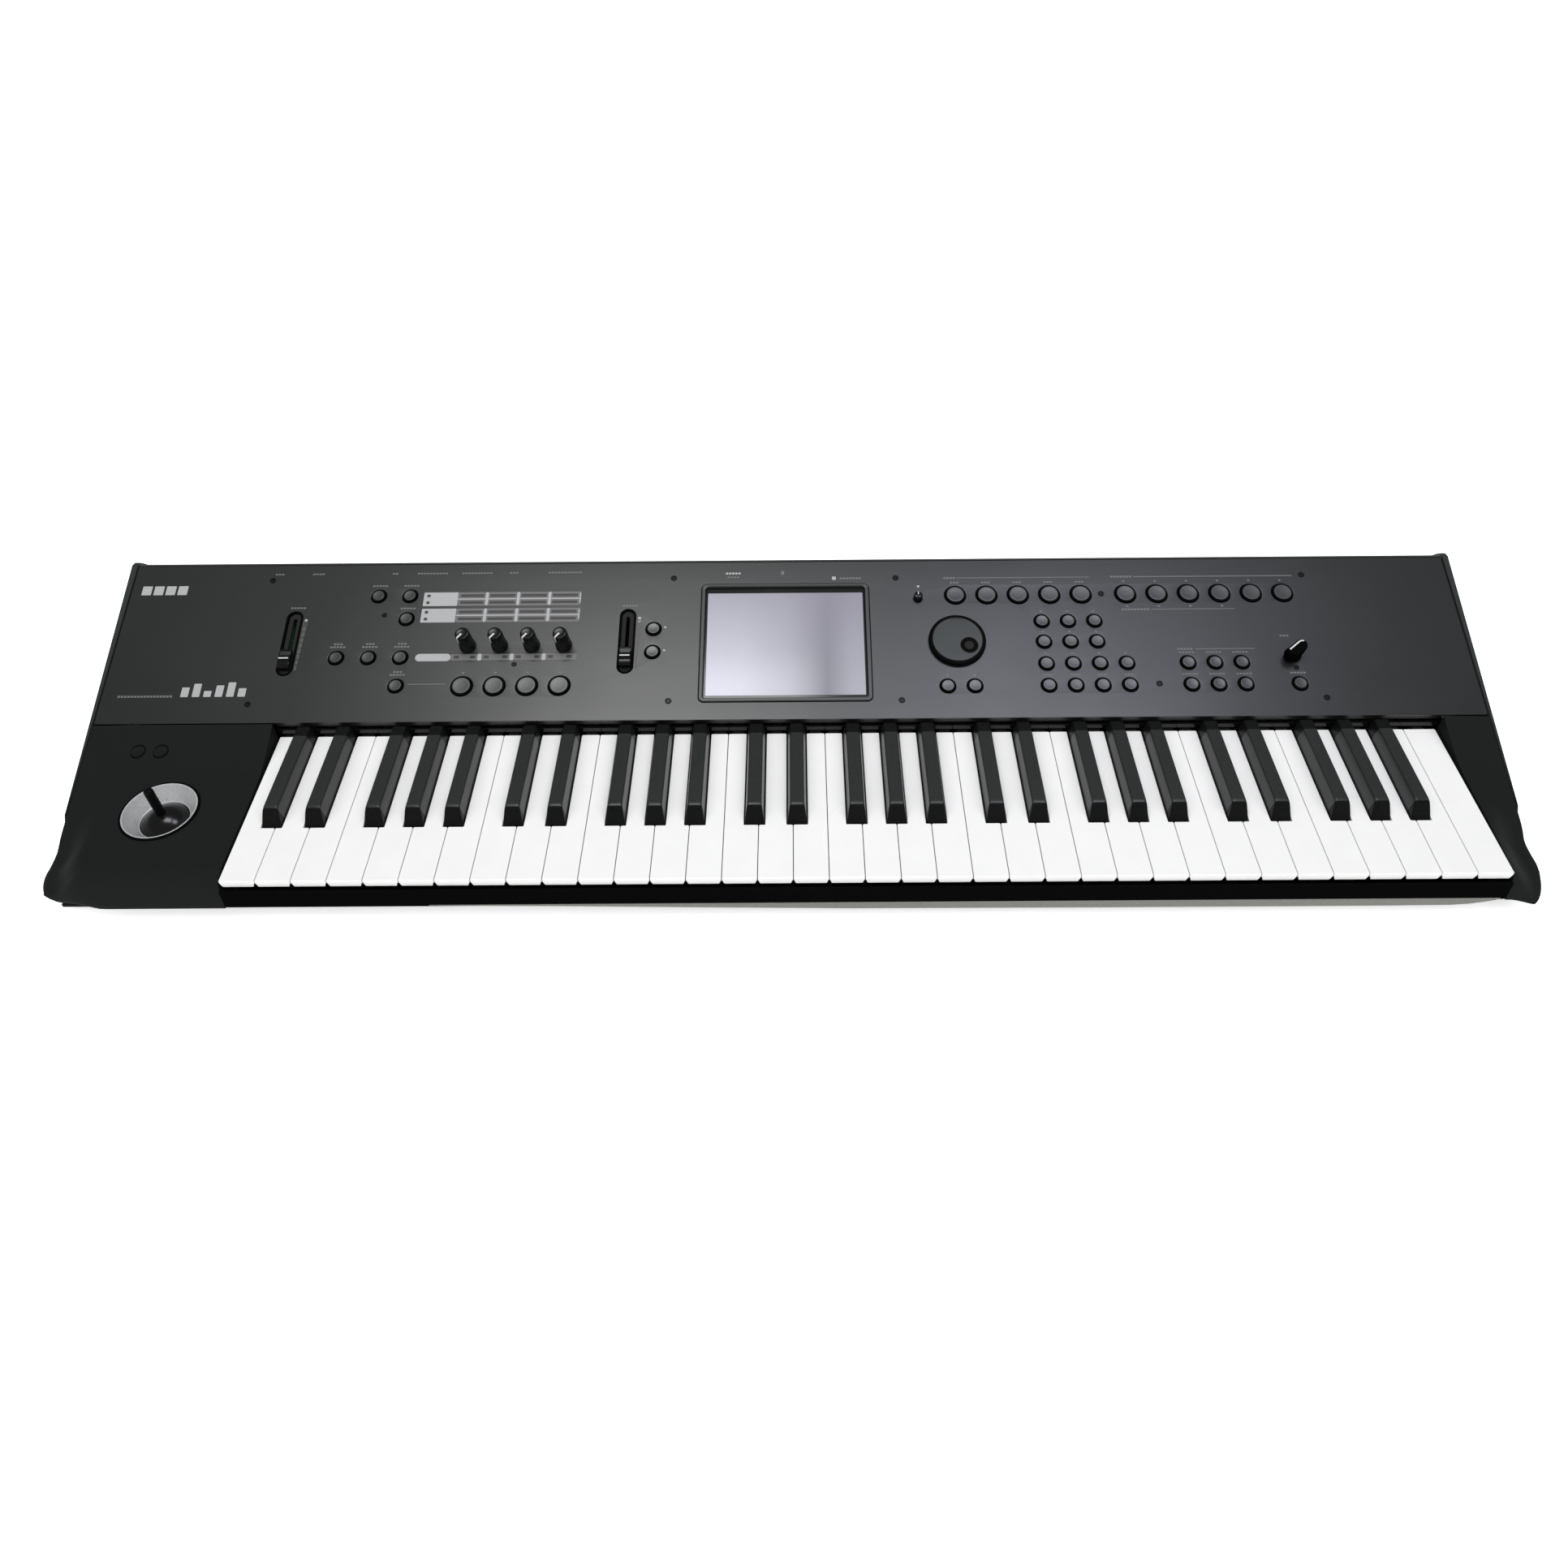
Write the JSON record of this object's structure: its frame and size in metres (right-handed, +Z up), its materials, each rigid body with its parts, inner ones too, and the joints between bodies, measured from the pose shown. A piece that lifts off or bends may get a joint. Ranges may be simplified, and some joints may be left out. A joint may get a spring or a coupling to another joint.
{
  "type": "keyboard synthesizer",
  "caption": "Slim keyboard synthesizer with piano-style keys, a sloping control panel with display, dial, knobs, sliders and buttons, a joystick, and rear jacks.",
  "frame": {"origin": "centre of the bounding box in X and Y, on the surface that the feet stand on", "axes": "+X along the keys from low to high notes, +Y from the player to the jacks at the rear, +Z up"},
  "size_m": [1.027, 0.314, 0.103],
  "materials": {
    "panel_metal": "satin dark gunmetal paint",
    "case_plastic": "satin black moulded plastic",
    "gloss_trim": "glossy black",
    "dial_plastic": "satin dark grey",
    "rail_plastic": "satin black",
    "white_keys": "glossy off-white",
    "black_keys": "semi-gloss black",
    "buttons": "satin dark grey centre in a black ring",
    "display_glass": "pale lavender-grey screen behind smooth glass",
    "dish_silver": "satin silver paint",
    "stick_plastic": "semi-gloss black",
    "steel": "plain pressed steel",
    "circuit_board": "green solder mask",
    "foot_rubber": "matt black"
  },
  "bodies": {
    "root": {"bottom_case": "case_plastic", "top_panel": "panel_metal", "rear_cover": "case_plastic", "fascia_strip": "gloss_trim", "left_end_block": "case_plastic", "right_end_block": "case_plastic", "left_cheek": "case_plastic", "right_cheek": "case_plastic", "front_rail": "rail_plastic", "keybed_frame": "steel", "key_contact_board": "circuit_board", "main_board": "circuit_board", "panel_board": "circuit_board", "jack_board": "circuit_board", "display_bezel": "gloss_trim", "display_module": "display_glass", "joystick_dish": "dish_silver", "joystick_bracket": "steel", "foot_front_left": "foot_rubber", "foot_front_right": "foot_rubber", "foot_rear_left": "foot_rubber", "foot_rear_right": "foot_rubber"},
    "white_keys_octave_1": {"white_keys_octave_1": "white_keys"},
    "black_keys_octave_1": {"black_keys_octave_1": "black_keys"},
    "white_keys_octave_2": {"white_keys_octave_2": "white_keys"},
    "black_keys_octave_2": {"black_keys_octave_2": "black_keys"},
    "white_keys_octave_3": {"white_keys_octave_3": "white_keys"},
    "black_keys_octave_3": {"black_keys_octave_3": "black_keys"},
    "white_keys_octave_4": {"white_keys_octave_4": "white_keys"},
    "black_keys_octave_4": {"black_keys_octave_4": "black_keys"},
    "white_keys_octave_5": {"white_keys_octave_5": "white_keys"},
    "black_keys_octave_5": {"black_keys_octave_5": "black_keys"},
    "white_key_high_c": {"white_key_high_c": "white_keys"},
    "mode_buttons": {"mode_buttons": "buttons"},
    "bank_buttons": {"bank_buttons": "buttons"},
    "number_buttons": {"number_buttons": "buttons"},
    "sequencer_buttons": {"sequencer_buttons": "buttons"},
    "dial_buttons": {"dial_buttons": "buttons"},
    "function_buttons": {"function_buttons": "buttons"},
    "pad_1": {"pad_1": "buttons"},
    "pad_2": {"pad_2": "buttons"},
    "pad_3": {"pad_3": "buttons"},
    "pad_4": {"pad_4": "buttons"},
    "increment_button": {"increment_button": "buttons"},
    "decrement_button": {"decrement_button": "buttons"},
    "tap_button": {"tap_button": "buttons"},
    "assign_switch_1": {"assign_switch_1": "buttons"},
    "assign_switch_2": {"assign_switch_2": "buttons"},
    "volume_slider_cap": {"volume_slider_cap": "gloss_trim"},
    "value_slider_cap": {"value_slider_cap": "gloss_trim"},
    "realtime_knob_1": {"realtime_knob_1": "gloss_trim"},
    "realtime_knob_2": {"realtime_knob_2": "gloss_trim"},
    "realtime_knob_3": {"realtime_knob_3": "gloss_trim"},
    "realtime_knob_4": {"realtime_knob_4": "gloss_trim"},
    "tempo_knob": {"tempo_knob": "gloss_trim"},
    "contrast_knob": {"contrast_knob": "gloss_trim"},
    "value_dial": {"value_dial": "dial_plastic"},
    "joystick_gimbal": {"joystick_gimbal": "steel"},
    "joystick_lever": {"joystick_lever": "stick_plastic"},
    "power_switch": {"power_switch": "rail_plastic"}
  },
  "joints": [
    {"name": "white_octave_1_press", "type": "hinge", "parent": "root", "child": "white_keys_octave_1", "pos_m": [-0.29175, 0.045, 0.034], "axis": [1, 0, 0], "range_deg": [0, 3], "stiffness_Nm_per_rad": 4, "springref_deg": -8.59},
    {"name": "black_octave_1_press", "type": "hinge", "parent": "root", "child": "black_keys_octave_1", "pos_m": [-0.29175, 0.045, 0.034], "axis": [1, 0, 0], "range_deg": [0, 3], "stiffness_Nm_per_rad": 2, "springref_deg": -6.88},
    {"name": "white_octave_2_press", "type": "hinge", "parent": "root", "child": "white_keys_octave_2", "pos_m": [-0.12725, 0.045, 0.034], "axis": [1, 0, 0], "range_deg": [0, 3], "stiffness_Nm_per_rad": 4, "springref_deg": -8.59},
    {"name": "black_octave_2_press", "type": "hinge", "parent": "root", "child": "black_keys_octave_2", "pos_m": [-0.12725, 0.045, 0.034], "axis": [1, 0, 0], "range_deg": [0, 3], "stiffness_Nm_per_rad": 2, "springref_deg": -6.88},
    {"name": "white_octave_3_press", "type": "hinge", "parent": "root", "child": "white_keys_octave_3", "pos_m": [0.03725, 0.045, 0.034], "axis": [1, 0, 0], "range_deg": [0, 3], "stiffness_Nm_per_rad": 4, "springref_deg": -8.59},
    {"name": "black_octave_3_press", "type": "hinge", "parent": "root", "child": "black_keys_octave_3", "pos_m": [0.03725, 0.045, 0.034], "axis": [1, 0, 0], "range_deg": [0, 3], "stiffness_Nm_per_rad": 2, "springref_deg": -6.88},
    {"name": "white_octave_4_press", "type": "hinge", "parent": "root", "child": "white_keys_octave_4", "pos_m": [0.20175, 0.045, 0.034], "axis": [1, 0, 0], "range_deg": [0, 3], "stiffness_Nm_per_rad": 4, "springref_deg": -8.59},
    {"name": "black_octave_4_press", "type": "hinge", "parent": "root", "child": "black_keys_octave_4", "pos_m": [0.20175, 0.045, 0.034], "axis": [1, 0, 0], "range_deg": [0, 3], "stiffness_Nm_per_rad": 2, "springref_deg": -6.88},
    {"name": "white_octave_5_press", "type": "hinge", "parent": "root", "child": "white_keys_octave_5", "pos_m": [0.36625, 0.045, 0.034], "axis": [1, 0, 0], "range_deg": [0, 3], "stiffness_Nm_per_rad": 4, "springref_deg": -8.59},
    {"name": "black_octave_5_press", "type": "hinge", "parent": "root", "child": "black_keys_octave_5", "pos_m": [0.36625, 0.045, 0.034], "axis": [1, 0, 0], "range_deg": [0, 3], "stiffness_Nm_per_rad": 2, "springref_deg": -6.88},
    {"name": "white_high_c_press", "type": "hinge", "parent": "root", "child": "white_key_high_c", "pos_m": [0.46025, 0.045, 0.034], "axis": [1, 0, 0], "range_deg": [0, 3], "stiffness_Nm_per_rad": 1, "springref_deg": -5.73},
    {"name": "mode_buttons_press", "type": "slide", "parent": "root", "child": "mode_buttons", "axis": [0, 0.3256, -0.9455], "range_m": [0, 0.001], "stiffness_N_per_m": 600, "springref_m": -0.002},
    {"name": "bank_buttons_press", "type": "slide", "parent": "root", "child": "bank_buttons", "axis": [0, 0.3256, -0.9455], "range_m": [0, 0.001], "stiffness_N_per_m": 600, "springref_m": -0.002},
    {"name": "number_buttons_press", "type": "slide", "parent": "root", "child": "number_buttons", "axis": [0, 0.3256, -0.9455], "range_m": [0, 0.001], "stiffness_N_per_m": 600, "springref_m": -0.002},
    {"name": "sequencer_buttons_press", "type": "slide", "parent": "root", "child": "sequencer_buttons", "axis": [0, 0.3256, -0.9455], "range_m": [0, 0.001], "stiffness_N_per_m": 600, "springref_m": -0.002},
    {"name": "dial_buttons_press", "type": "slide", "parent": "root", "child": "dial_buttons", "axis": [0, 0.3256, -0.9455], "range_m": [0, 0.001], "stiffness_N_per_m": 600, "springref_m": -0.002},
    {"name": "function_buttons_press", "type": "slide", "parent": "root", "child": "function_buttons", "axis": [0, 0.3256, -0.9455], "range_m": [0, 0.001], "stiffness_N_per_m": 600, "springref_m": -0.002},
    {"name": "pad_1_press", "type": "slide", "parent": "root", "child": "pad_1", "axis": [0, 0.3256, -0.9455], "range_m": [0, 0.001], "stiffness_N_per_m": 300, "springref_m": -0.002},
    {"name": "pad_2_press", "type": "slide", "parent": "root", "child": "pad_2", "axis": [0, 0.3256, -0.9455], "range_m": [0, 0.001], "stiffness_N_per_m": 300, "springref_m": -0.002},
    {"name": "pad_3_press", "type": "slide", "parent": "root", "child": "pad_3", "axis": [0, 0.3256, -0.9455], "range_m": [0, 0.001], "stiffness_N_per_m": 300, "springref_m": -0.002},
    {"name": "pad_4_press", "type": "slide", "parent": "root", "child": "pad_4", "axis": [0, 0.3256, -0.9455], "range_m": [0, 0.001], "stiffness_N_per_m": 300, "springref_m": -0.002},
    {"name": "increment_press", "type": "slide", "parent": "root", "child": "increment_button", "axis": [0, 0.3256, -0.9455], "range_m": [0, 0.001], "stiffness_N_per_m": 300, "springref_m": -0.002},
    {"name": "decrement_press", "type": "slide", "parent": "root", "child": "decrement_button", "axis": [0, 0.3256, -0.9455], "range_m": [0, 0.001], "stiffness_N_per_m": 300, "springref_m": -0.002},
    {"name": "tap_press", "type": "slide", "parent": "root", "child": "tap_button", "axis": [0, 0.3256, -0.9455], "range_m": [0, 0.001], "stiffness_N_per_m": 300, "springref_m": -0.002},
    {"name": "assign_switch_1_press", "type": "slide", "parent": "root", "child": "assign_switch_1", "axis": [0, 0, -1], "range_m": [0, 0.001], "stiffness_N_per_m": 300, "springref_m": -0.002},
    {"name": "assign_switch_2_press", "type": "slide", "parent": "root", "child": "assign_switch_2", "axis": [0, 0, -1], "range_m": [0, 0.001], "stiffness_N_per_m": 300, "springref_m": -0.002},
    {"name": "volume_slide", "type": "slide", "parent": "root", "child": "volume_slider_cap", "axis": [0, 0.9455, 0.3256], "range_m": [-0.0034, 0.0346]},
    {"name": "value_slide", "type": "slide", "parent": "root", "child": "value_slider_cap", "axis": [0, 0.9455, 0.3256], "range_m": [-0.0038, 0.0342]},
    {"name": "realtime_knob_1_turn", "type": "hinge", "parent": "root", "child": "realtime_knob_1", "pos_m": [-0.2411, 0.04013, 0.07821], "axis": [0, -0.3256, 0.9455], "range_deg": [-290, 10]},
    {"name": "realtime_knob_2_turn", "type": "hinge", "parent": "root", "child": "realtime_knob_2", "pos_m": [-0.2171, 0.04013, 0.07821], "axis": [0, -0.3256, 0.9455], "range_deg": [-290, 10]},
    {"name": "realtime_knob_3_turn", "type": "hinge", "parent": "root", "child": "realtime_knob_3", "pos_m": [-0.1931, 0.04013, 0.07821], "axis": [0, -0.3256, 0.9455], "range_deg": [-290, 10]},
    {"name": "realtime_knob_4_turn", "type": "hinge", "parent": "root", "child": "realtime_knob_4", "pos_m": [-0.1691, 0.04013, 0.07821], "axis": [0, -0.3256, 0.9455], "range_deg": [-290, 10]},
    {"name": "tempo_turn", "type": "hinge", "parent": "root", "child": "tempo_knob", "pos_m": [0.374, 0.02775, 0.07394], "axis": [0, -0.3256, 0.9455], "range_deg": [-99, 201]},
    {"name": "contrast_turn", "type": "hinge", "parent": "root", "child": "contrast_knob", "pos_m": [0.0983, 0.0772, 0.09097], "axis": [0, -0.3256, 0.9455], "range_deg": [-140, 140]},
    {"name": "dial_turn", "type": "hinge", "parent": "root", "child": "value_dial", "pos_m": [0.1256, 0.04089, 0.07847], "axis": [0, -0.3256, 0.9455], "continuous": true},
    {"name": "joystick_side_tilt", "type": "hinge", "parent": "root", "child": "joystick_gimbal", "pos_m": [-0.435, -0.0924, 0.0229], "axis": [0, 1, 0], "range_deg": [-15, 15], "stiffness_Nm_per_rad": 0.4},
    {"name": "joystick_fore_tilt", "type": "hinge", "parent": "joystick_gimbal", "child": "joystick_lever", "pos_m": [-0.435, -0.0924, 0.0229], "axis": [1, 0, 0], "range_deg": [-15, 15], "stiffness_Nm_per_rad": 0.4},
    {"name": "power_rock", "type": "hinge", "parent": "root", "child": "power_switch", "pos_m": [-0.3946, 0.144, 0.04], "axis": [1, 0, 0], "range_deg": [0, 12]}
  ]
}
